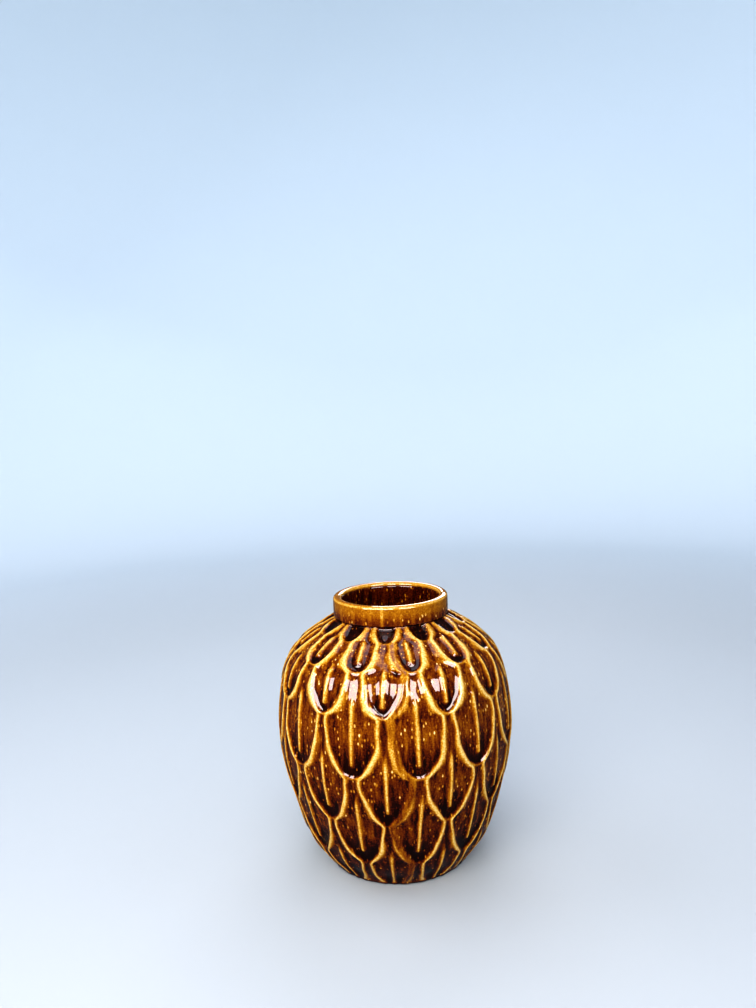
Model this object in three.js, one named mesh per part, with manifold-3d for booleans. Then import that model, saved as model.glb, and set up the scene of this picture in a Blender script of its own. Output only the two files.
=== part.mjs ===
// A slip-cast stoneware vase: a bellied body pressed all over with overlapping petals, under a short
// straight collar, with one glaze coat outside and another inside.
// Millimetres, +Z up. The origin is the centre of the circle that the vase stands on, and the middle
// of a petal faces -Y.
import * as THREE from 'three';
import { mergeVertices } from 'three/addons/utils/BufferGeometryUtils.js';
import Module from 'manifold-3d';

// ---- Driving dimensions -------------------------------------------------------------------------

const petalsPerRow = 12;
const collarRadius = 48.8;
const lipHeight = 227.6;
const lipRounding = 2.6; // height of the lip's eased edge
const lipChamfer = 1.5; // and its width
const collarWall = 7; // outer glaze to inner glaze
const glazeThickness = 0.6;
const coatGap = 0.3; // clearance between the clay and each coat
const bellyWall = 8; // petal crest to inner glaze, along the wall's normal
const footRadius = 57; // outer edge of the ring that touches the table
const footInnerRadius = 47;
const footClear = 1.2; // the outer glaze stops this high above the table
const undersideRise = 3.2; // how far the underside is recessed inside the foot ring
const floorHeight = 11; // top of the clay floor
const floorRadius = 52; // where the flat of the floor ends
const floorCorner = { radius: 61, rise: 3.5 }; // a point of the bend between the floor and the wall
const neckBend = { flare: 1.5, low: 204, high: 209 }; // where the inside of the neck turns to the shoulder
const overrun = 1; // how far a cutting solid runs past the face that it opens

// The wall from the table up to the collar, over the crests of the petals: radius, height.
const wallCurve = new THREE.SplineCurve([
  new THREE.Vector2(60.5, 0),
  new THREE.Vector2(80.6, 29),
  new THREE.Vector2(96.5, 84),
  new THREE.Vector2(100.5, 124),
  new THREE.Vector2(94.2, 168),
  new THREE.Vector2(80.8, 189.4),
  new THREE.Vector2(60.2, 204.2),
  new THREE.Vector2(collarRadius, 210.4),
]);

// Where the petals of each row end, as a fraction of the wall's length down from the collar. The
// first row starts under the collar and the last one runs out under the foot.
const tipFractions = [-0.05, 0.066, 0.18, 0.323, 0.519, 0.689, 0.854, 1.03];

// Between the tips of one row and the next lie up to three rings of points: each ring's place in that
// band, the first band that has it, and how deep the relief lies there under the petals' crests. The
// depths are at five stations, from the middle of the petal that ends in the band to the middle of the
// one that starts in it. The crest of the petal's raised edge is the station between.
const ringsInBand = [
  { place: 0, firstBand: 1, depths: [0.7, 2.0, 0, 1.3, 0.9] },
  { place: 0.42, firstBand: 2, depths: [0.7, 2.0, 0, 2.3, 2.3] },
  { place: 0.8, firstBand: 1, depths: [2.5, 2.4, 0, 2.0, 0.8] },
];

const halfPetal = Math.PI / petalsPerRow;
const edgeTop = 0.853; // a petal's edge, in half petals from its middle, where the band starts
const edgeTip = 0.147; // and at its tip, where it runs into the next row's edges

const lipEdge = lipHeight - lipRounding; // where the rounding of the lip starts

const stationsPerHalfPetal = 4;
const reliefSegments = petalsPerRow * 2 * stationsPerHalfPetal;
const plainSegments = 36;
const closestRing = 0.02; // no ring lies closer than this, in wall lengths, to the glaze's lower edge
const grooveDepth = 0.6; // the groove between the shoulder and the collar

// Rings of the inside, as a fraction of the wall's length down from the collar.
const insideFractions = [0.87, 0.76, 0.63, 0.5, 0.38, 0.27, 0.18, 0.1];

// ---- The petal relief ---------------------------------------------------------------------------

// A petal's edge narrows slowly at first, then rounds in to the tip.
function petalEdge(place) {
  return edgeTip + (edgeTop - edgeTip) * (1 - place ** 1.8) ** 0.8;
}

// Angles of the five stations, in half petals from the middle of the petal that ends in this band.
function stationAngles(place) {
  const edge = petalEdge(place);
  return [0, edge / 2, edge, (edge + 1) / 2, 1];
}

// One point of the relief for a column around the vase: its angle and its depth under the crests.
function reliefAt(ring, column) {
  const petalColumns = 2 * stationsPerHalfPetal;
  const shifted = column + (ring.band % 2 === 0 ? 0 : stationsPerHalfPetal);
  const turn = Math.floor(shifted / petalColumns);
  const within = shifted % petalColumns;
  const mirrored = within > stationsPerHalfPetal;
  const station = mirrored ? petalColumns - within : within;
  const offset = stationAngles(ring.place)[station];
  const fromMiddle = mirrored ? 2 - offset : offset;
  const start = ring.band % 2 === 0 ? 0 : -1;
  return {
    angle: (2 * turn + fromMiddle + start) * halfPetal,
    depth: ring.depths[station],
  };
}

// ---- Profiles -----------------------------------------------------------------------------------

// A profile is a list of stations { point, normal, ring }, from the foot up and over the lip.

function wallStation(fraction, ring) {
  const along = 1 - fraction;
  const point = wallCurve.getPointAt(along);
  const tangent = wallCurve.getTangentAt(along);
  return { point, normal: new THREE.Vector2(tangent.y, -tangent.x), ring };
}

// The fraction of the wall's length, from the collar, at which the wall is this high.
function fractionAtHeight(height) {
  let low = 0;
  let high = 1;
  while (high - low > 1e-6) {
    const middle = (low + high) / 2;
    if (wallCurve.getPointAt(1 - middle).y > height) {
      low = middle;
    } else {
      high = middle;
    }
  }
  return low;
}

// The wall from the lower edge of the outer glaze up to the last row of tips under the collar.
function petalledWall() {
  const lowest = fractionAtHeight(footClear);
  const lastBand = tipFractions.length - 2;
  const stations = [];
  for (let band = 0; band <= lastBand; band += 1) {
    const top = tipFractions[band];
    const length = tipFractions[band + 1] - top;
    for (const { place, firstBand, depths } of ringsInBand) {
      const fraction = top + length * place;
      if (band >= firstBand && fraction < lowest - closestRing) {
        stations.push(wallStation(fraction, { band, place, depths }));
      }
    }
  }
  const top = tipFractions[lastBand];
  const place = (lowest - top) / (tipFractions[lastBand + 1] - top);
  stations.push(wallStation(lowest, { band: lastBand, place, depths: ringsInBand[2].depths }));
  return stations.reverse();
}

// The outside of the vase, sunk by an inset along its own normals: 0 for the face of the glaze.
function outsideProfile(inset) {
  const wall = petalledWall().map(({ point, normal, ring }) => ({
    point: point.clone().addScaledVector(normal, -inset),
    normal,
    ring,
  }));
  const outer = collarRadius - inset;
  const inner = collarRadius - collarWall + inset;
  const groove = wallCurve.getPointAt(1).y - grooveDepth - inset;
  const collar = [
    new THREE.Vector2(outer, groove),
    new THREE.Vector2(outer, lipEdge),
    new THREE.Vector2(outer - lipChamfer, lipHeight - inset),
    new THREE.Vector2(inner + lipChamfer, lipHeight - inset),
    new THREE.Vector2(inner, lipEdge),
  ];
  return [...wall, ...collar.map((point) => ({ point }))];
}

// The inside of the vase, sunk into the clay by an inset: 0 for the face of the inner glaze.
function insideProfile(inset) {
  const points = [new THREE.Vector2(0, floorHeight + glazeThickness + coatGap - inset)];
  points.push(new THREE.Vector2(floorRadius + inset / 2, points[0].y));
  points.push(new THREE.Vector2(floorCorner.radius + inset * 0.75, points[0].y + floorCorner.rise));
  for (const fraction of insideFractions) {
    const { point, normal } = wallStation(fraction, null);
    points.push(point.addScaledVector(normal, inset - bellyWall));
  }
  const neck = collarRadius - collarWall + inset;
  points.push(new THREE.Vector2(neck + neckBend.flare, neckBend.low + inset / 2));
  points.push(new THREE.Vector2(neck, neckBend.high));
  return points;
}

// ---- Solids -------------------------------------------------------------------------------------

function turn(points, segments) {
  const geometry = new THREE.LatheGeometry(points, segments);
  geometry.rotateX(Math.PI / 2);
  return geometry;
}

// Turns a profile, then presses the petals into it.
function turnWithPetals(profile) {
  const geometry = turn(profile.map(({ point }) => point), reliefSegments);
  const position = geometry.attributes.position;
  for (let column = 0; column <= reliefSegments; column += 1) {
    profile.forEach(({ point, normal, ring }, row) => {
      if (!ring) {
        return;
      }
      const { angle, depth } = reliefAt(ring, column % reliefSegments);
      const radius = point.x - normal.x * depth;
      const height = point.y - normal.y * depth;
      const index = column * profile.length + row;
      position.setXYZ(index, radius * Math.sin(angle), -radius * Math.cos(angle), height);
    });
  }
  return geometry;
}

const wasm = await Module();
wasm.setup();

function toSolid(geometry) {
  const bare = geometry.clone();
  bare.deleteAttribute('normal');
  bare.deleteAttribute('uv');
  const merged = mergeVertices(bare, 1e-4);
  return new wasm.Manifold(new wasm.Mesh({
    numProp: 3,
    vertProperties: new Float32Array(merged.attributes.position.array),
    triVerts: new Uint32Array(merged.index.array),
  }));
}

function toGeometry(solid) {
  const mesh = solid.getMesh();
  const geometry = new THREE.BufferGeometry();
  geometry.setAttribute('position', new THREE.BufferAttribute(mesh.vertProperties, 3));
  geometry.setIndex(new THREE.BufferAttribute(mesh.triVerts, 1));
  geometry.computeVertexNormals();
  return geometry;
}

// ---- The vase -----------------------------------------------------------------------------------

// A solid vase with no hollow: a foot, the petalled outside sunk by an inset, and a plug in the mouth.
function petalledBlank(inset, foot, plugHeight) {
  const profile = [...foot.map((point) => ({ point })), ...outsideProfile(inset)];
  profile.push({ point: new THREE.Vector2(0, plugHeight) });
  return toSolid(turnWithPetals(profile));
}

function stonewareBody() {
  const inset = glazeThickness + coatGap;
  const foot = [new THREE.Vector2(0, 0), new THREE.Vector2(footRadius, 0)];
  const blank = petalledBlank(inset, foot, lipEdge);

  const cavityWall = insideProfile(inset);
  const mouth = new THREE.Vector2(cavityWall[cavityWall.length - 1].x, lipHeight + overrun);
  const cavity = toSolid(turn([...cavityWall, mouth, new THREE.Vector2(0, mouth.y)], plainSegments));

  const recess = toSolid(turn([
    new THREE.Vector2(0, -overrun),
    new THREE.Vector2(footInnerRadius, -overrun),
    new THREE.Vector2(footInnerRadius, 0),
    new THREE.Vector2(footInnerRadius - undersideRise, undersideRise),
    new THREE.Vector2(0, undersideRise),
  ], plainSegments));
  return toGeometry(blank.subtract(cavity).subtract(recess));
}

// The coat is what is left of a blank at its face when a blank at its back is cut out of it. The
// second one runs on past the foot and the mouth, so that the coat is open at both.
function outerGlaze() {
  const face = petalledBlank(0, [new THREE.Vector2(0, footClear)], lipEdge);
  const below = new THREE.Vector2(footRadius + coatGap, -footClear);
  const back = petalledBlank(glazeThickness, [new THREE.Vector2(0, below.y), below], lipEdge + overrun / 2);
  return toGeometry(face.subtract(back));
}

function innerGlaze() {
  const face = insideProfile(0);
  const back = insideProfile(glazeThickness);
  const rim = lipEdge - coatGap;
  const faceTop = new THREE.Vector2(face[face.length - 1].x, rim);
  const backTop = new THREE.Vector2(back[back.length - 1].x, rim);
  return turn([...back, backTop, faceTop, ...face.reverse()], plainSegments);
}

const clay = new THREE.MeshStandardMaterial({ color: 0xcbb28c, roughness: 0.85, metalness: 0 });
const amberGlaze = new THREE.MeshStandardMaterial({ color: 0x8a4a10, roughness: 0.08, metalness: 0 });
const linerGlaze = new THREE.MeshStandardMaterial({ color: 0x9a5a1c, roughness: 0.12, metalness: 0 });

const vase = new THREE.Group();

function addPiece(name, geometry, material) {
  const piece = new THREE.Mesh(geometry, material);
  piece.name = name;
  vase.add(piece);
}

addPiece('stoneware_body', stonewareBody(), clay);
addPiece('outer_glaze', outerGlaze(), amberGlaze);
addPiece('inner_glaze', innerGlaze(), linerGlaze);

export default vase;
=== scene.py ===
from math import cos, hypot, pi, radians, sin, tau

import bmesh
import bpy
import numpy as np
from mathutils import Matrix, Vector


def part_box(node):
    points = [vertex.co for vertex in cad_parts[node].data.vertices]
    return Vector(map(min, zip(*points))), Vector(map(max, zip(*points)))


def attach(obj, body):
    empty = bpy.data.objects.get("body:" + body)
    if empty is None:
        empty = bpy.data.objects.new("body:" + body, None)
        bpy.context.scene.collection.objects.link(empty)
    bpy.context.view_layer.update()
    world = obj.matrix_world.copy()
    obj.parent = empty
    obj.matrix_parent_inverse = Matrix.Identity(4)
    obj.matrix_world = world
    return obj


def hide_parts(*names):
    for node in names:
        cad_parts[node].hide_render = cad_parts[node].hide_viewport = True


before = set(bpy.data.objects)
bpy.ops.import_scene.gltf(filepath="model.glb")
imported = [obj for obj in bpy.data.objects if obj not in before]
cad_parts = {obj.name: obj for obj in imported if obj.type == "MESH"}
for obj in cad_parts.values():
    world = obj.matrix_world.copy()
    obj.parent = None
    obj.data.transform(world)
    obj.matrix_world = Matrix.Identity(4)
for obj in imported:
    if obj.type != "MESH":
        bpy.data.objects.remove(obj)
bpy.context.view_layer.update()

mm = 0.001


def nodeRadii(node, low, high):
    # the least and the greatest radius of a CAD piece between two heights
    radii = [hypot(v.co.x, v.co.y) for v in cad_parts[node].data.vertices if low <= v.co.z <= high]
    return min(radii), max(radii)


# sizes taken from the frame, in metres
coatLow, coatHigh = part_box("outer_glaze")
linerLow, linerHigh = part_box("inner_glaze")
bellyRadius = coatHigh.x
lipHeight = coatHigh.z
mouthInner, collarRadius = nodeRadii("outer_glaze", lipHeight - 3 * mm, lipHeight)
footInner, footOuter = nodeRadii("stoneware_body", -0.1 * mm, 0.1 * mm)

# the wall's outline over the crests of the petals, from the table up to the collar: radius as a share of
# the belly's and height as a share of the lip's
wallShape = [(0.6065, 0.0), (0.808, 0.1274), (0.9673, 0.3691), (1.0074, 0.5448),
             (0.9443, 0.7381), (0.81, 0.8322), (0.6034, 0.8972)]
collarBase = 0.9244 * lipHeight
wallPoints = [Vector((r * bellyRadius, h * lipHeight)) for r, h in wallShape]
wallPoints.append(Vector((collarRadius, collarBase)))


def smoothLine(points, steps):
    # a curve through the points, in steps between each two
    line = []
    last = len(points) - 1
    for i in range(last):
        before, start, end, after = (points[max(0, min(last, k))] for k in (i - 1, i, i + 1, i + 2))
        leave, arrive = (end - before) / 2, (after - start) / 2
        for t in np.arange(steps) / steps:
            line.append(start * (2 * t**3 - 3 * t**2 + 1) + leave * (t**3 - 2 * t**2 + t)
                        + end * (3 * t**2 - 2 * t**3) + arrive * (t**3 - t**2))
    return np.array([*line, points[-1]])


# turned round to run from the collar down: a place on the wall is its share of the way from the collar
wallLine = smoothLine(wallPoints, 80)[::-1]
wallSteps = np.hypot(*np.diff(wallLine, axis=0).T)
wallLength = wallSteps.sum()
wallPlaces = np.concatenate([[0], np.cumsum(wallSteps)]) / wallLength


def alongWall(place):
    return np.interp(place, wallPlaces, wallLine[:, 0]), np.interp(place, wallPlaces, wallLine[:, 1])


def wallAt(place):
    # radius, height and outward direction on the wall at each place
    radius, height = alongWall(place)
    near = 0.004  # a short step up and down the wall
    upperR, upperZ = alongWall(place - near)
    lowerR, lowerZ = alongWall(place + near)
    length = np.hypot(lowerR - upperR, lowerZ - upperZ)
    return radius, height, (upperZ - lowerZ) / length, (lowerR - upperR) / length


petals = {
    "perRow": 12,
    "tips": [-0.05, 0.066, 0.18, 0.323, 0.519, 0.689, 0.854, 1.03],  # where rows end, down the wall
    "tipGap": [0.24, 0.34, 0.29, 0.17, 0.21, 0.15, 0.2, 0.15],  # between edges under a tip, in half petals
    "fullness": [2.2, 2.2, 2.4, 2.4, 1.9, 2.1, 2.1],  # a higher row stays wide for longer
    "roundness": [0.75, 0.72, 0.74, 0.8, 0.84, 0.84, 0.84],  # under one, a tip is round rather than pointed
    "tipTurn": 1.6 * mm,  # over which an edge turns at a tip
    "panelDepth": 1.9,  # mm under the crests
    "pocketDepth": 2.9, "pocketFrom": 0.25, "pocketTo": 0.85,  # just inside each tip, and where it deepens
    "grooveDepth": 1.6, "grooveFrom": 0.1, "grooveTo": 0.6,  # between two petals, just under the tip above
    "edgeWidth": [2.2, 2.2, 2.0, 1.7, 1.55, 1.5, 1.45, 1.4],  # mm, by row
    "edgeFall": 2.1, "slopeOut": 1.2,  # how sharply an edge drops, and how much wider it is on its outside
    "bowl": 0.25, "bowlReach": 2.8,  # how far a panel curves up towards its edges
    "ribWidth": [2.5, 2.5, 2.4, 2.3, 2.2, 2.1, 2.0, 2.0],  # mm, by row
    "ribStart": [1.0, 0.78, 0.74, 0.47, 0.5, 0.3, 0.58, 1.0],  # in the band above the row's own
    "ribEnd": [60, 7, 7, 9, 10.5, 11, 9, 60],  # mm above the tip; the first and last rows show no rib
    "ribHeight": 0.9, "ribFall": 2.4, "ribThin": 0.45,  # share of the depth, and of its width at the top
    "tipBar": [0.6, 0.6, 0.8, 0.8, 0.75, 0.45, 0.4, 0.4],  # height of the rim across a tip
    "barWidth": 0.9, "barBow": 1.8,  # mm
    "seamFlat": 1.0, "seamDepth": 0.3,  # mm, half the flat along the mould's joint
    "seamReach": 1.9,  # how far the darker glaze spreads from it
    "wander": 0.025,  # how far an edge strays by hand, in half petals
    "around": 1440, "down": 520,  # places at which the pressing is worked out
}
halfPetal = pi / petals["perRow"]
halfPetals = 2 * petals["perRow"]
chance = np.random.default_rng(11)
ribShift = chance.uniform(-0.35, 0.35, (9, halfPetals))
ribTilt = chance.uniform(-0.05, 0.05, (9, halfPetals))
edgePhase = chance.uniform(0, tau, (2, halfPetals))
seamEdges = (0, petals["perRow"])  # the two runs of edges that the mould's joint follows


def ease(low, high, value):
    t = np.clip((value - low) / (high - low), 0, 1)
    return t * t * (3 - 2 * t)


def bandAt(place):
    # a band lies between the tips of two rows; in it the upper row ends and the lower one starts
    tips = petals["tips"]
    band = max(i for i in range(len(tips) - 1) if tips[i] <= place)
    return band, min(1, (place - tips[band]) / (tips[band + 1] - tips[band]))


def edgeAt(place):
    band, share = bandAt(place)
    top, tip = 1 - petals["tipGap"][band], petals["tipGap"][band + 1]
    edge = tip + (top - tip) * (1 - share ** petals["fullness"][band]) ** petals["roundness"][band]
    return edge if band % 2 == 0 else 1 - edge


def edgeFromEven(place, run):
    # where each run of petal edges crosses this place, counted from the even row's petal
    turn = petals["tipTurn"] / wallLength
    edge = (edgeAt(place - turn) + 2 * edgeAt(place) + edgeAt(place + turn)) / 4
    slow, quick = np.sin(place * 31 + edgePhase[0, run]), np.sin(place * 67 + edgePhase[1, run])
    return edge + petals["wander"] * (slow + 0.6 * quick)


def pressRing(place, angles):
    # how deep the clay lies under the crests around one ring, in mm, and how much of it is mould seam
    band, share = bandAt(place)
    bandLength = (petals["tips"][band + 1] - petals["tips"][band]) * wallLength / mm
    halfWidth = wallAt(place)[0] * halfPetal / mm
    run = np.floor(angles / halfPetal).astype(int) % halfPetals
    within = angles / halfPetal - np.floor(angles / halfPetal)
    fromEven = np.where(run % 2 == 0, within, 1 - within)
    crossing = edgeFromEven(place, run)
    near = 0.002  # a short step down the wall, to find how far the edge leans
    lean = (edgeFromEven(min(place + near, 1.02), run) - crossing) * halfWidth / (near * wallLength / mm)
    fromEdge = np.abs(fromEven - crossing) * halfWidth / np.hypot(1, lean)

    # which petal each angle is on, and how far above that petal's tip
    onEven = fromEven < crossing
    ending = onEven == (band % 2 == 0)
    row = np.where(ending, band, band + 1)
    toMiddle = np.where(onEven, fromEven, 1 - fromEven)
    onRight = onEven == (run % 2 == 0)
    petal = np.where(onRight, run, run + 1) % halfPetals
    nextBand = 40  # mm, about one band: a petal that starts here ends in the next one down
    aboveTip = (1 - share) * bandLength + np.where(ending, 0, nextBand)

    deepening = ease(petals["pocketFrom"], petals["pocketTo"], share)
    settling = ease(petals["grooveFrom"], petals["grooveTo"], share)
    floorEnding = petals["panelDepth"] + (petals["pocketDepth"] - petals["panelDepth"]) * deepening
    floorStarting = petals["grooveDepth"] + (petals["panelDepth"] - petals["grooveDepth"]) * settling
    floor = np.where(ending, floorEnding, floorStarting)

    # inside a petal the edge drops steeply; outside it slopes away gently onto the next row
    edgeWidth = petals["edgeWidth"][band]
    slopeOut = edgeWidth * (1 + petals["slopeOut"] * ease(0.25, 0.6, share) * (1 - ease(0.8, 1.0, share)))
    width = np.where(ending, edgeWidth, slopeOut)
    seam = np.isin(run, seamEdges) & (band > 0)
    off = np.maximum(0, fromEdge - np.where(seam, petals["seamFlat"], 0)) / width
    crest, bowl = np.exp(-(off ** petals["edgeFall"])), np.exp(-((off / petals["bowlReach"]) ** 2))
    edge = (1 - petals["bowl"]) * crest + petals["bowl"] * bowl
    seamLine = np.where(seam, np.exp(-(fromEdge / petals["seamReach"]) ** 4), 0)

    # the rib down the middle of a petal starts under the tip above and stops short of its own tip
    side = np.where(onRight, 1, -1) * toMiddle * halfWidth
    middle = ribShift[row, petal] + ribTilt[row, petal] * (aboveTip - 0.5 * nextBand)
    ribEnd = np.array(petals["ribEnd"])[row]
    ribStart = np.array(petals["ribStart"])[row]
    startEase, endEase = ease(ribStart, ribStart + 0.3, share), ease(ribEnd - 0.8, ribEnd + 1.2, aboveTip)
    grown = np.where(ending, endEase, startEase)
    thin = petals["ribThin"]
    ribWidth = np.array(petals["ribWidth"])[row] * np.where(ending, 1, thin + (1 - thin) * grown)
    rib = petals["ribHeight"] * grown * np.exp(-(np.abs(side - middle) / ribWidth) ** petals["ribFall"])

    # a low rim closes each tip
    tipRow = np.where(ending, band + 1, band)
    bow = petals["barBow"] * (toMiddle / np.array(petals["tipGap"])[tipRow]) ** 2
    fromBar = np.where(ending, np.abs((1 - share) * bandLength - bow), share * bandLength + bow)
    bar = np.array(petals["tipBar"])[tipRow] * np.exp(-(fromBar / petals["barWidth"]) ** 2)

    depth = floor * (1 - edge) * (1 - rib) * (1 - bar) + petals["seamDepth"] * seamLine
    return depth, seamLine


reliefAngles = np.arange(petals["around"]) * tau / petals["around"]
reliefPlaces = np.linspace(0, 1, petals["down"])
reliefRadius = wallAt(reliefPlaces)[0]


def softened(field, reach):
    # the field averaged over a reach along the wall and around it
    apart = np.subtract.outer(reliefPlaces, reliefPlaces) * wallLength / reach
    down = np.exp(-0.5 * apart**2)
    down /= down.sum(1, keepdims=True)
    waves = np.arange(petals["around"] // 2 + 1)
    around = np.exp(-0.5 * np.outer(reach / reliefRadius, waves) ** 2)
    return np.fft.irfft(np.fft.rfft(down @ field, axis=1) * around, petals["around"], axis=1)


flow = {
    # how thick the glaze lies, from 0, thin over an edge, to 1, deepest: what each place adds
    "crest": 0.08, "offCrest": 0.46, "hollow": 0.5, "pocket": 0.16, "seam": 0.27, "underCollar": 0.36,
    "skin": 0.55 * mm, "fine": 0.3 * mm, "drain": 2.4 * mm, "gather": 0.35 * mm,  # reaches it evens out over
}

pressed = [pressRing(place, reliefAngles) for place in reliefPlaces]
clayDepth = np.array([depth for depth, seam in pressed])
seamLine = softened(np.array([seam for depth, seam in pressed]), flow["fine"])

# glaze flows off the crests and gathers in the hollows, so its face is softer than the clay's
glazeDepth = softened(clayDepth, flow["skin"])
gathered = softened(np.maximum(0, clayDepth - softened(clayDepth, flow["drain"])), flow["gather"])
offCrest = ease(-0.1, 1.65, softened(clayDepth, flow["fine"]))
pool = flow["crest"] + flow["offCrest"] * offCrest + flow["hollow"] * gathered
pool += flow["pocket"] * ease(1.8, 2.7, glazeDepth) + flow["seam"] * seamLine
pool += flow["underCollar"] * ease(0.075, 0, reliefPlaces)[:, None] * (0.3 + 0.7 * offCrest)
print("petals pressed, deepest", round(float(glazeDepth.max()), 2), "mm")


def sampleRelief(field, place, angles):
    # the field read at one place down the wall and at any angles
    row = np.clip(place, 0, 1) * (petals["down"] - 1)
    low = int(min(row, petals["down"] - 2))
    ring = field[low] + (field[low + 1] - field[low]) * (row - low)
    return np.interp(angles, np.append(reliefAngles, tau), np.append(ring, ring[0]))


def linear(code):
    # an sRGB hex colour as linear light
    channels = [int(code[i:i + 2], 16) / 255 for i in (1, 3, 5)]
    return (*[c / 12.92 if c <= 0.04045 else ((c + 0.055) / 1.055) ** 2.4 for c in channels], 1)


def addNode(tree, kind, settings=None, links=None, out=0):
    node = tree.nodes.new("ShaderNode" + kind)
    for name, value in (settings or {}).items():
        if name == "stops":
            while len(node.color_ramp.elements) < len(value):
                node.color_ramp.elements.new(1)
            for stop, (place, code) in zip(node.color_ramp.elements, value):
                stop.position = place
                stop.color = linear(code)
        else:
            setattr(node, name, value)
    for name, value in (links or {}).items():
        if isinstance(value, bpy.types.NodeSocket):
            tree.links.new(value, node.inputs[name])
        else:
            node.inputs[name].default_value = value
    return node.outputs[out]


def startMaterial(name, **values):
    material = bpy.data.materials.new(name)
    material.use_nodes = True
    shader = material.node_tree.nodes["Principled BSDF"]
    for key, value in values.items():
        shader.inputs[key.replace("_", " ")].default_value = value
    return material, material.node_tree, shader


glazeLook = {
    "stops": [(0.0, "#D9C48E"), (0.1, "#CDAB62"), (0.2, "#B5862C"), (0.31, "#97650C"), (0.42, "#835008"),
              (0.52, "#713C05"), (0.62, "#5E2A04"), (0.73, "#491903"), (0.85, "#2F0B02"), (1.0, "#160300")],
    "streakWidth": 3.8, "streakLength": 26, "streaks": 1.1,  # mm, mm, share of the ramp
    "grainSize": 1.2, "grains": 0.55,
    "fleckWidth": 2.7, "fleckLength": 5.6, "flecks": 0.47,
    "darker": 0.26,  # towards the foot, where the glaze ran thicker
    # painted shade: the colour darkens towards the foot
    "rippleSize": 7, "rippleHeight": 0.04,
    # the lining's one tone is a deep pool of glaze, set darker as painted shade for the inside of the pot
    "linerPoolAndShade": 0.8, "linerRun": 0.6,
}


def glazeMaterial(name, lining=False):
    # a glossy iron-amber glaze on pale clay: honey where it is thin over an edge, near black where it
    # pools, with streaks where it ran and flecks where it broke; the fired skin is glass-smooth
    look = glazeLook
    material, tree, shader = startMaterial(name, Roughness=0.3, Specular_IOR_Level=0.0, Coat_Weight=1.0,
                                           Coat_Roughness=0.03, Coat_IOR=1.5)
    place = addNode(tree, "TexCoord", out="Object")
    # the lining reads one constant tone, partly painted shade for the inside of the pot
    depth, ran = look["linerPoolAndShade"], look["linerRun"]
    if not lining:
        # the attribute holds the glaze's thickness, and near the foot painted shade
        depth = addNode(tree, "Attribute", {"attribute_name": "glazePool"}, out="Fac")
        ran = addNode(tree, "Attribute", {"attribute_name": "glazeRun"}, out="Fac")

    across, along = 1 / (look["streakWidth"] * mm), 1 / (look["streakLength"] * mm)
    run = addNode(tree, "Mapping", links={"Vector": place, "Scale": (across, across, along)})
    streak = addNode(tree, "TexNoise", links={"Vector": run, "Scale": 1, "Detail": 3, "Roughness": 0.6})
    grain = addNode(tree, "TexNoise",
                    links={"Vector": place, "Scale": 1 / (look["grainSize"] * mm), "Detail": 2})

    # flecks are small tall cells, and only some of the cells
    across, along = 1 / (look["fleckWidth"] * mm), 1 / (look["fleckLength"] * mm)
    grid = addNode(tree, "Mapping", links={"Vector": place, "Scale": (across, across, along)})
    cell = addNode(tree, "TexVoronoi", links={"Vector": grid, "Scale": 1})
    chosen = addNode(tree, "SeparateColor", links={"Color": cell.node.outputs["Color"]})
    chosen = addNode(tree, "MapRange", links={"Value": chosen, "From Min": 0.2, "From Max": 0.6})
    fleck = addNode(tree, "MapRange", {"interpolation_type": "SMOOTHSTEP"},
                    {"Value": cell, "From Min": 0.36, "From Max": 0.14})
    fleck = addNode(tree, "Math", {"operation": "MULTIPLY"}, {0: fleck, 1: chosen})

    # the crests keep an even colour, and flecks show only in the deeper glaze
    hollow = addNode(tree, "MapRange", {"interpolation_type": "SMOOTHSTEP"},
                     {"Value": depth, "From Min": 0.12, "From Max": 0.45, "To Min": 0.1})
    deep = addNode(tree, "MapRange", {"interpolation_type": "SMOOTHSTEP"},
                   {"Value": depth, "From Min": 0.32, "From Max": 0.55})
    height = addNode(tree, "SeparateXYZ", links={"Vector": place}, out="Z")
    # painted shade: below 0.6 of the lip's height the ramp is pushed darker towards the foot
    low = addNode(tree, "MapRange", links={"Value": height, "From Min": 0.6 * lipHeight, "From Max": 0,
                                           "To Max": look["darker"]})
    streak = addNode(tree, "Math", {"operation": "MULTIPLY_ADD"}, {0: streak, 1: look["streaks"], 2: low})
    streak = addNode(tree, "Math", {"operation": "SUBTRACT"}, {0: streak, 1: 0.5 * look["streaks"]})
    streak = addNode(tree, "Math", {"operation": "MULTIPLY"}, {0: streak, 1: ran})
    shade = addNode(tree, "Math", {"operation": "MULTIPLY_ADD"}, {0: streak, 1: hollow, 2: depth})
    shade = addNode(tree, "Math", {"operation": "MULTIPLY_ADD"}, {0: grain, 1: look["grains"], 2: shade})
    shade = addNode(tree, "Math", {"operation": "SUBTRACT"}, {0: shade, 1: 0.5 * look["grains"]})
    broken = addNode(tree, "Math", {"operation": "MULTIPLY"}, {0: fleck, 1: deep})
    shade = addNode(tree, "Math", {"operation": "MULTIPLY_ADD"}, {0: broken, 1: -look["flecks"], 2: shade})
    colour = addNode(tree, "ValToRGB", {"stops": look["stops"]}, {"Fac": shade})
    tree.links.new(colour, shader.inputs["Base Color"])

    # the skin ripples a little, and stands up at a fleck
    ripple = addNode(tree, "TexNoise", links={"Vector": place, "Scale": 1 / (look["rippleSize"] * mm)})
    ripple = addNode(tree, "Math", {"operation": "MULTIPLY_ADD"}, {0: broken, 1: 0.15, 2: ripple})
    skin = addNode(tree, "Bump",
                   links={"Strength": 1, "Distance": look["rippleHeight"] * mm, "Height": ripple})
    tree.links.new(skin, shader.inputs["Normal"])
    tree.links.new(skin, shader.inputs["Coat Normal"])
    return material


biscuitLook = {
    "stops": [(0, "#5C3A22"), (0.3, "#9C7B58"), (0.5, "#BFA27C"), (0.7, "#D6BE9A")],
    "gritSize": 0.7, "cloudSize": 14, "speckSize": 2.2, "gritHeight": 0.15,  # mm
}


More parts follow.
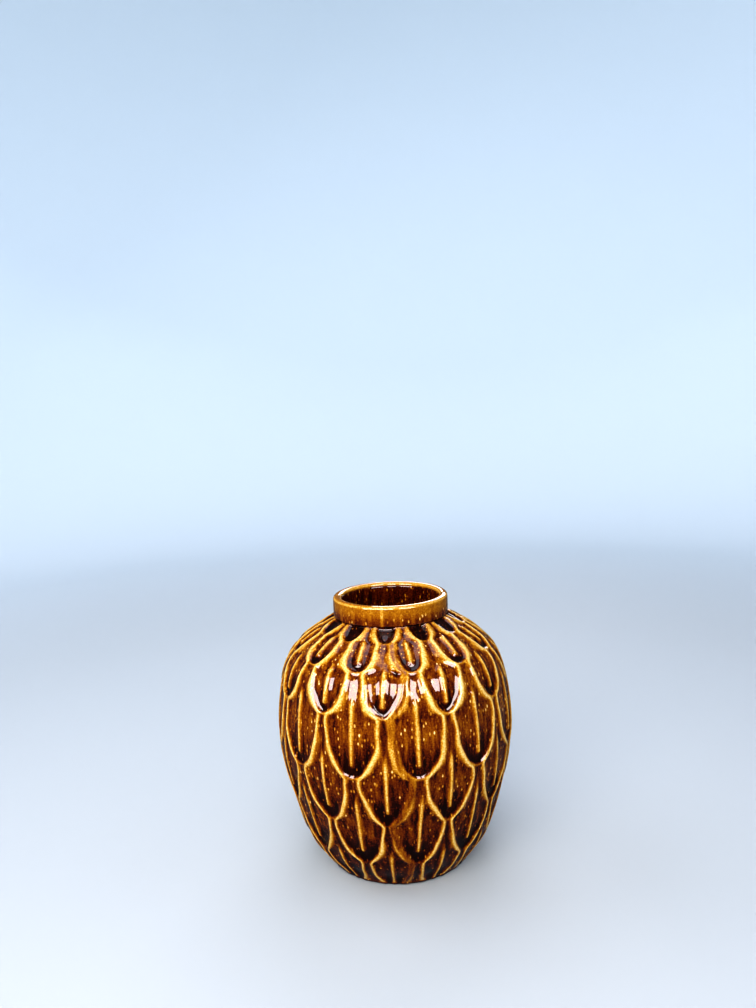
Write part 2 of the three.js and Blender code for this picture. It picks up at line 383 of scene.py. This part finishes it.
def clayMaterial():
    # unglazed buff stoneware: dry, matt and gritty, with fine dark iron specks
    look = biscuitLook
    material, tree, shader = startMaterial("biscuitStoneware", Roughness=0.82, IOR=1.5)
    place = addNode(tree, "TexCoord", out="Object")
    grit = addNode(tree, "TexNoise",
                   links={"Vector": place, "Scale": 1 / (look["gritSize"] * mm), "Detail": 4})
    cloud = addNode(tree, "TexNoise",
                    links={"Vector": place, "Scale": 1 / (look["cloudSize"] * mm), "Detail": 2})
    speck = addNode(tree, "TexVoronoi", links={"Vector": place, "Scale": 1 / (look["speckSize"] * mm)})
    speck = addNode(tree, "MapRange", links={"Value": speck, "From Min": 0.1, "From Max": 0.2})
    tone = addNode(tree, "Math", {"operation": "ADD"}, {0: grit, 1: cloud})
    tone = addNode(tree, "Math", {"operation": "MULTIPLY"}, {0: tone, 1: 0.5})
    tone = addNode(tree, "Math", {"operation": "MULTIPLY"}, {0: tone, 1: speck})
    colour = addNode(tree, "ValToRGB", {"stops": look["stops"]}, {"Fac": tone})
    tree.links.new(colour, shader.inputs["Base Color"])
    skin = addNode(tree, "Bump",
                   links={"Strength": 0.6, "Distance": look["gritHeight"] * mm, "Height": grit})
    tree.links.new(skin, shader.inputs["Normal"])
    return material


def turnProfile(name, outline, columns, closed):
    # spins an outline of radius and height a quarter round from the front, then mirrors it twice
    bm = bmesh.new()
    ringOf = bm.verts.layers.int.new("ring")
    corners = [bm.verts.new((0, -spot[0], spot[1])) for spot in outline]
    for i, corner in enumerate(corners):
        corner[ringOf] = i
    pairs = zip(corners, corners[1:] + corners[:1] if closed else corners[1:])
    sides = [bm.edges.new(pair) for pair in pairs]
    bmesh.ops.spin(bm, geom=corners + sides, cent=(0, 0, 0), axis=(0, 0, 1), angle=tau / 4,
                   steps=columns // 4)
    weld = 0.001 * mm
    for axis in "XY":
        bmesh.ops.mirror(bm, geom=bm.verts[:] + bm.edges[:] + bm.faces[:], merge_dist=weld, axis=axis)
    bmesh.ops.remove_doubles(bm, verts=bm.verts, dist=weld)
    bmesh.ops.recalc_face_normals(bm, faces=bm.faces)
    for face in bm.faces:
        face.smooth = True
    mesh = bpy.data.meshes.new(name)
    bm.to_mesh(mesh)
    bm.free()
    piece = bpy.data.objects.new(name, mesh)
    bpy.context.collection.objects.link(piece)
    return piece


def arc(centre, reach, start, end, steps):
    angles = np.radians(np.linspace(start, end, steps + 1))
    return [(centre[0] + reach * cos(a), centre[1] + reach * sin(a)) for a in angles]


coat = {
    "columnsPerEdge": 18,
    "finePitch": 0.8 * mm, "coarsePitch": 1.85 * mm, "fineReach": 4.8 * mm,  # of rings, near and off the tips
    "lipRounding": 2.6 * mm, "lipSteps": 6,
    "collarFoot": 1.2 * mm, "collarGroove": 0.6 * mm, "collarRings": 14,
    "collarBack": 2.2 * mm, "wallBack": 3.3 * mm, "backRings": 14,  # the coat's hidden back, from its face
    "edge": 1.0 * mm, "evenEdge": 10 * mm, "darkEdge": 5 * mm,  # at the foot the relief fades, and the colour darkens as painted shade
    "mouthPool": 0.3, "lipPool": 0.36, "lipThin": 0.18,  # thickness of glaze, as in flow
    # the last value on the next line is painted shade under the coat's bottom edge, not glaze
    "collarPool": 0.66, "collarThin": 0.3, "groovePool": 0.95, "footShadePool": 0.95,
    "collarRun": 0.25,
    "drips": 0.2, "dripWaves": (23, 37, 59), "dripFall": 18 * mm,  # the glaze's uneven run down the collar
    "collarSeam": radians(-3.4), "seamHeight": 0.5 * mm, "seamWidth": 0.9 * mm, "seamThin": 0.25,
}


def wallRings():
    # rings lie closer together round the tips, where the petals end in a thin bar
    places = [0.0]
    while places[-1] < 1:
        fromTip = min(abs(places[-1] - tip) for tip in petals["tips"][1:-1]) * wallLength
        spread = float(ease(0.6 * coat["fineReach"], 1.6 * coat["fineReach"], fromTip))
        pitch = coat["finePitch"] + (coat["coarsePitch"] - coat["finePitch"]) * spread
        places.append(places[-1] + pitch / wallLength)
    return np.array(places) / places[-1]


def collarRings():
    # the inside of the mouth, over the lip, down the collar and under it; the glaze is thin over the lip
    rim, lip, foot = coat["lipRounding"], lipHeight, coat["collarFoot"]
    low = collarBase + coat["collarGroove"]
    mouth = np.linspace(linerHigh.z + 0.02 * mm, lip - rim, 2, endpoint=False)
    rings = [(mouthInner, h, 0, 0, coat["mouthPool"]) for h in mouth]
    over = arc((mouthInner + rim, lip - rim), rim, 180, 90, coat["lipSteps"])
    over += arc((collarRadius - rim, lip - rim), rim, 90, 0, coat["lipSteps"])
    for r, h in over:
        thin = float(ease(lip - rim, lip - 0.5 * rim, h) * ease(lip, lip - 0.3 * rim, h))
        rings.append((r, h, 0, 0, coat["lipPool"] - coat["lipThin"] * thin))
    for h in np.linspace(lip - rim, low + foot, coat["collarRings"])[1:-1]:
        thin = float(ease(low + foot, lip - 6 * mm, h))
        rings.append((collarRadius, h, 0, 0, coat["collarPool"] - coat["collarThin"] * thin))
    for r, h in arc((collarRadius - foot, low + foot), foot, 0, -80, 6):
        thin = float(ease(low, low + foot, h))
        rings.append((r, h, 0, 0, coat["groovePool"] - (coat["groovePool"] - coat["collarPool"]) * thin))
    return rings


def coatRings():
    # each ring is radius, height, place on the wall, share of the relief it takes, and glaze thickness, which
    # near the foot also holds painted shade
    rings = collarRings()
    edge, least = coat["edge"], 0.04
    places = wallRings()
    radius, height, outR, outZ = wallAt(places)
    for r, h, place in zip(radius, height, places):
        if h > coatLow.z + 0.6 * edge:
            share = least + (1 - least) * float(ease(0.8 * edge, coat["evenEdge"], h))
            # painted shade: the last few mm above the foot turn dark, where the vase meets the floor
            rings.append((r, h, place, share, 0.9 * float(ease(coat["darkEdge"], edge, h))))
    last = rings[-1]
    # the rounding under the edge takes the painted shade too
    rings += [(last[0] - 0.45 * edge, coatLow.z + 0.2 * edge, last[2], last[3], coat["footShadePool"]),
              (last[0] - edge, coatLow.z, last[2], 0.9 * last[3], coat["footShadePool"])]

    # the back, out of sight against the clay
    places = np.linspace(last[2], 0, coat["backRings"])
    radius, height, outR, outZ = wallAt(places)
    behindR, behindZ = radius - coat["wallBack"] * outR, height - coat["wallBack"] * outZ
    behindZ[0] = coatLow.z
    rings += [(r, h, place, 0, 1) for r, h, place in zip(behindR, behindZ, places)]
    back, shelf = coat["collarBack"], lipHeight - coat["collarBack"]
    turn = 0.2 * back
    behind = [(collarRadius - back, collarBase + coat["collarGroove"]), (collarRadius - back, shelf - turn),
              (collarRadius - back - turn, shelf), (mouthInner + 1.2 * mm, shelf),
              (mouthInner + liner["thickness"], shelf - turn),
              (mouthInner + liner["thickness"], linerHigh.z + 0.02 * mm)]
    return rings + [(r, h, 0, 0, 1) for r, h in behind]


def crowd(t):
    # closer together at both ends
    return t - 0.6 * np.sin(tau * t) / tau


def ringAngles(place):
    # one column follows each edge and each middle line, and the others crowd near them
    per = coat["columnsPerEdge"]
    column = np.arange(per * halfPetals)
    run, step = column // per, (column % per) / per
    crossing = edgeFromEven(place, run)
    crossing = np.where(run % 2 == 0, crossing, 1 - crossing)
    within = np.where(step < 0.5, crossing * crowd(2 * step), crossing + (1 - crossing) * crowd(2 * step - 1))
    return (run + within) * halfPetal


def makeCoat():
    rings = coatRings()
    columns = coat["columnsPerEdge"] * halfPetals
    piece = turnProfile("outerGlaze", [(r, h) for r, h, *_ in rings], columns, closed=True)
    mesh = piece.data
    angles, radii, heights, pools = (np.empty((len(rings), columns)) for _ in range(4))
    for i, (r, h, place, share, ringPoolAndShade) in enumerate(rings):
        angles[i] = ringAngles(place)
        _, _, outR, outZ = wallAt(place)
        depth = share * sampleRelief(glazeDepth, place, angles[i]) * mm
        radii[i], heights[i] = r - depth * outR, h - depth * outZ
        # each value is the glaze's thickness, and near the foot painted shade
        pools[i] = np.maximum(sampleRelief(pool, place, angles[i]), ringPoolAndShade) if share else ringPoolAndShade
        onCollar = not share and ringPoolAndShade < 1 and r > mouthInner + coat["lipRounding"]
        if onCollar:
            fromSeam = (np.mod(angles[i] - coat["collarSeam"] + pi, tau) - pi) * collarRadius
            ridge = np.exp(-(fromSeam / coat["seamWidth"]) ** 2)
            radii[i] += coat["seamHeight"] * ridge
            pools[i] -= coat["seamThin"] * ridge
            drips = sum(np.sin(wave * angles[i] + k) for k, wave in enumerate(coat["dripWaves"]))
            pools[i] += coat["drips"] / 3 * drips * ease(lipHeight, lipHeight - coat["dripFall"], h)

    # every turned corner knows its ring and its column, and moves to that ring's own shape there
    count = len(mesh.vertices)
    spots, ring = np.empty(3 * count), np.empty(count, dtype=np.int32)
    mesh.vertices.foreach_get("co", spots)
    mesh.attributes["ring"].data.foreach_get("value", ring)
    spots = spots.reshape(-1, 3)
    column = np.rint(np.arctan2(spots[:, 0], -spots[:, 1]) / tau * columns).astype(int) % columns
    angle, radius = angles[ring, column], radii[ring, column]
    spots = np.stack([radius * np.sin(angle), -radius * np.cos(angle), heights[ring, column]], axis=1)
    mesh.vertices.foreach_set("co", spots.ravel())
    ran = np.array([share or coat["collarRun"] for r, h, place, share, ringPoolAndShade in rings])
    for name, values in (("glazePool", pools[ring, column]), ("glazeRun", ran[ring])):
        mesh.attributes.new(name, "FLOAT", "POINT").data.foreach_set("value", values)
    mesh.update()
    mesh.materials.append(glazeMaterial("amberGlaze"))
    print("outer glaze", len(mesh.polygons), "faces")
    return piece


liner = {
    "depth": 8 * mm, "thickness": 0.6 * mm,  # under the crests of the petals
    "top": 0.07, "bottom": 0.9, "rings": 48, "columns": 144,
    "floorRounding": 9 * mm, "floorRings": 10,
    "neckBend": 9 * mm, "neckStart": 16 * mm, "neckFlare": 1.5 * mm,
}


def innerLine(depth, floorHeight, neckRadius, neckTop):
    # the inside of the pot at a depth under the crests, from the middle of its floor up to the neck
    places = np.linspace(liner["bottom"], liner["top"], liner["rings"])
    radius, height, outR, outZ = wallAt(places)
    wall = [Vector(spot) for spot in zip(radius - depth * outR, height - depth * outZ)]
    bend = liner["floorRounding"]
    corner = [Vector((wall[0].x - 2.2 * bend, floorHeight)),
              Vector((wall[0].x - 0.7 * bend, floorHeight + 0.16 * bend)), wall[0], wall[1]]
    foot = [Vector(spot) for spot in smoothLine(corner, liner["floorRings"])[:2 * liner["floorRings"]]]
    neck = [wall[-1], Vector((neckRadius + liner["neckFlare"], wall[-1].y + liner["neckBend"])),
            Vector((neckRadius, wall[-1].y + liner["neckStart"])), Vector((neckRadius, neckTop))]
    throat = [Vector(spot) for spot in smoothLine(neck, 6)[1:]]
    flat = [Vector((foot[0].x * share, floorHeight)) for share in (0, 0.35, 0.7)]
    return flat + foot + wall + throat


def makeLiner():
    floorHeight, neckTop = linerLow.z + liner["thickness"], linerHigh.z
    inner = innerLine(liner["depth"], floorHeight, mouthInner, neckTop)
    thickness = liner["thickness"]
    outer = innerLine(liner["depth"] - thickness, linerLow.z, mouthInner + thickness, neckTop)
    piece = turnProfile("innerGlaze", inner + outer[::-1], liner["columns"], closed=False)
    piece.data.materials.append(glazeMaterial("amberLiner", lining=True))
    print("inner glaze", len(piece.data.polygons), "faces")
    return piece


clay = {
    "gap": 0.2 * mm,  # between the clay and each glaze
    "rings": 40, "columns": 144, "bottom": 0.985,
    "rounding": 1.4 * mm, "recess": 3.2 * mm, "recessSlope": 3.2 * mm,
}


def makeClay():
    # the foot is a dry ring round a slightly hollow underside
    bend, up = clay["rounding"], clay["recess"]
    under = [(0, up), (footInner * 0.5, up), (footInner - clay["recessSlope"] - bend, up),
             (footInner - clay["recessSlope"], up - 0.3 * bend)]
    under += arc((footInner + bend, bend), bend, 215, 270, 4)
    under += arc((footOuter - bend, bend), bend, 270, 360, 5)[:-1]

    depth = coat["wallBack"] + clay["gap"]
    places = np.linspace(clay["bottom"], 0, clay["rings"])
    radius, height, outR, outZ = wallAt(places)
    wall = list(zip(radius - depth * outR, height - depth * outZ))
    back = collarRadius - coat["collarBack"] - clay["gap"]
    top = lipHeight - coat["collarBack"] - clay["gap"]
    neck = [(back, top - 1.5 * bend), *arc((back - bend, top - bend), bend, 0, 90, 4)]
    hollow = mouthInner + liner["thickness"] + clay["gap"]
    throat = arc((hollow + bend, top - bend), bend, 90, 180, 4)
    inner = innerLine(liner["depth"] - liner["thickness"] - clay["gap"], linerLow.z - clay["gap"], hollow,
                      top - 1.5 * bend)
    outline = under + wall + neck + throat + inner[::-1]
    piece = turnProfile("clayBody", outline, clay["columns"], closed=False)
    piece.data.materials.append(clayMaterial())
    print("clay body", len(piece.data.polygons), "faces")
    return piece


outerGlaze = makeCoat()
innerGlaze = makeLiner()
clayBody = makeClay()
for piece, node, slot in ((outerGlaze, "outer_glaze", "amber_glaze"),
                          (innerGlaze, "inner_glaze", "liner_glaze"),
                          (clayBody, "stoneware_body", "fired_clay")):
    piece.data.attributes.remove(piece.data.attributes["ring"])
    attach(piece, "root")
    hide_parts(node)

studio = {
    "floorRadius": 1.5, "coveRadius": 0.6, "wallHeight": 2.6,  # metres
    "floorTint": "#A2A8AD", "wallTint": "#D3DBE3", "glow": "#BDD0DF", "glowStrength": 0.24,
    "paleFrom": 0.7, "paleTo": 2.5,  # metres from the vase, over which the paper gets paler
    "sky": "#CFE0F2", "skyStrength": 0.14,
}


def makeCove():
    # a round sweep of matt paper all about: no shine, and paler the farther off it is
    flat, bend = studio["floorRadius"], studio["coveRadius"]
    line = [(0, 0), (0.4 * flat, 0), (flat, 0)] + arc((flat, bend), bend, -90, 0, 12)[1:]
    line.append((flat + bend, studio["wallHeight"]))
    cove = turnProfile("cove", line, 96, closed=False)
    cove.data.flip_normals()
    material, tree, shader = startMaterial("mattPaper", Roughness=0.9)
    place = addNode(tree, "TexCoord", out="Object")
    away = addNode(tree, "VectorMath", {"operation": "LENGTH"}, {0: place}, out="Value")
    pale = addNode(tree, "MapRange", {"interpolation_type": "SMOOTHSTEP"},
                   {"Value": away, "From Min": studio["paleFrom"], "From Max": studio["paleTo"]})
    tint = addNode(tree, "ValToRGB", {"stops": [(0, studio["floorTint"]), (1, studio["wallTint"])]},
                   {"Fac": pale})
    tree.links.new(tint, shader.inputs["Base Color"])
    glow = addNode(tree, "Math", {"operation": "MULTIPLY"}, {0: pale, 1: studio["glowStrength"]})
    tree.links.new(glow, shader.inputs["Emission Strength"])
    shader.inputs["Emission Color"].default_value = linear(studio["glow"])
    cove.data.materials.append(material)
    cove.visible_glossy = False  # the glaze mirrors the lamps and a dim room, never the paper


lamps = {
    # degrees from the front, elevation, distance, width and height in metres, watts, colour, and whether it
    # is a window that shines in the glaze or a soft light that only fills
    "windowLeft": (-37, 28, 1.15, 0.56, 0.6, 15.5, "#FFF0EE", "shine"),
    "windowMiddle": (0, 29, 1.15, 0.36, 0.6, 10, "#FFF0EE", "shine"),
    "windowRight": (38, 28, 1.15, 0.56, 0.6, 15.5, "#FFF0EE", "shine"),
    "windowBack": (172, 30, 1.15, 0.6, 0.5, 6, "#FFF0EE", "shine"),
    "softFront": (-8, 27, 1.15, 1.2, 0.9, 17.5, "#FFF8F0", "fill"),
    "softLeft": (-100, 40, 1.5, 1.2, 0.9, 8.5, "#F6F8FF", "fill"),
    "softRight": (100, 40, 1.5, 1.2, 0.9, 3, "#F6F8FF", "fill"),
    "softBack": (180, 48, 1.7, 1.2, 0.9, 10, "#F6F8FF", "fill"),
    "softTop": (0, 80, 1.15, 0.8, 0.8, 4, "#F6F4FF", "both"),
}


def addLamps():
    aim = Vector((0, 0, lipHeight * 0.6))
    for name, (turn, rise, away, wide, tall, power, tint, use) in lamps.items():
        lamp = bpy.data.lights.new(name, "AREA")
        lamp.shape = "RECTANGLE"
        lamp.size, lamp.size_y = wide, tall
        lamp.energy = power
        lamp.color = linear(tint)[:3]
        holder = bpy.data.objects.new(name, lamp)
        bpy.context.collection.objects.link(holder)
        turn, rise = radians(turn), radians(rise)
        out = Vector((sin(turn) * cos(rise), -cos(turn) * cos(rise), sin(rise)))
        holder.location = aim + out * away
        holder.rotation_euler = out.to_track_quat("Z", "Y").to_euler()
        holder.visible_camera = False
        holder.visible_diffuse = use != "shine"
        holder.visible_glossy = use != "fill"


def addSky():
    world = bpy.data.worlds.new("overcast")
    bpy.context.scene.world = world
    world.use_nodes = True
    sky = world.node_tree.nodes["Background"]
    sky.inputs["Color"].default_value = linear(studio["sky"])
    sky.inputs["Strength"].default_value = studio["skyStrength"]


viewpoint = {
    # the lens looks a little down on the shoulder, with the horizon slightly tipped
    "away": 0.6573, "height": 0.3821, "round": 5.115,  # metres, metres, degrees from the front
    "yaw": 0.624, "pitch": -6.73, "roll": -2.329, "lens": 28.04,  # degrees, and mm
}


def addCamera():
    lens = bpy.data.cameras.new("camera")
    lens.lens = viewpoint["lens"]
    lens.clip_start = 0.01
    holder = bpy.data.objects.new("camera", lens)
    bpy.context.collection.objects.link(holder)
    turn, away = radians(viewpoint["round"]), viewpoint["away"]
    place = Matrix.Translation((away * sin(turn), -away * cos(turn), viewpoint["height"]))
    facing = Matrix.Rotation(turn + radians(viewpoint["yaw"]), 4, "Z")
    tilt = Matrix.Rotation(pi / 2 + radians(viewpoint["pitch"]), 4, "X")
    holder.matrix_world = place @ facing @ tilt @ Matrix.Rotation(radians(viewpoint["roll"]), 4, "Z")
    bpy.context.scene.camera = holder


makeCove()
addLamps()
addSky()
addCamera()
bpy.context.scene.view_settings.view_transform = "Standard"
bpy.context.scene.view_settings.look = "High Contrast"
print("studio set")
